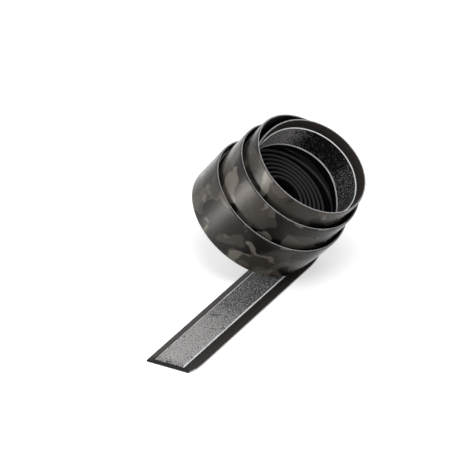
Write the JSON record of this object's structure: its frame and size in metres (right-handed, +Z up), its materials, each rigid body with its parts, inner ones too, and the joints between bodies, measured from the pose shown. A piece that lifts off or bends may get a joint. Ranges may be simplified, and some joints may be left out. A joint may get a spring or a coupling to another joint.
{
  "type": "handlebar tape roll",
  "caption": "Roll of cushioned handlebar tape with an adhesive strip along its inner face, drawn out like a telescope, its loose tail lying flat on the ground.",
  "frame": {"origin": "on the ground, under the middle of the bounding box", "axes": "+Z up; the tail runs along -Y to its cut end; the mouth of the roll leans towards +X"},
  "size_m": [0.1118, 0.1978, 0.0977],
  "materials": {
    "tape_foam": "satin, soft-edged camouflage in dark warm greys",
    "release_film": "finely pebbled film with a soft sheen"
  },
  "bodies": {
    "root": {"tape": "tape_foam", "backing_strip": "release_film"}
  },
  "joints": []
}
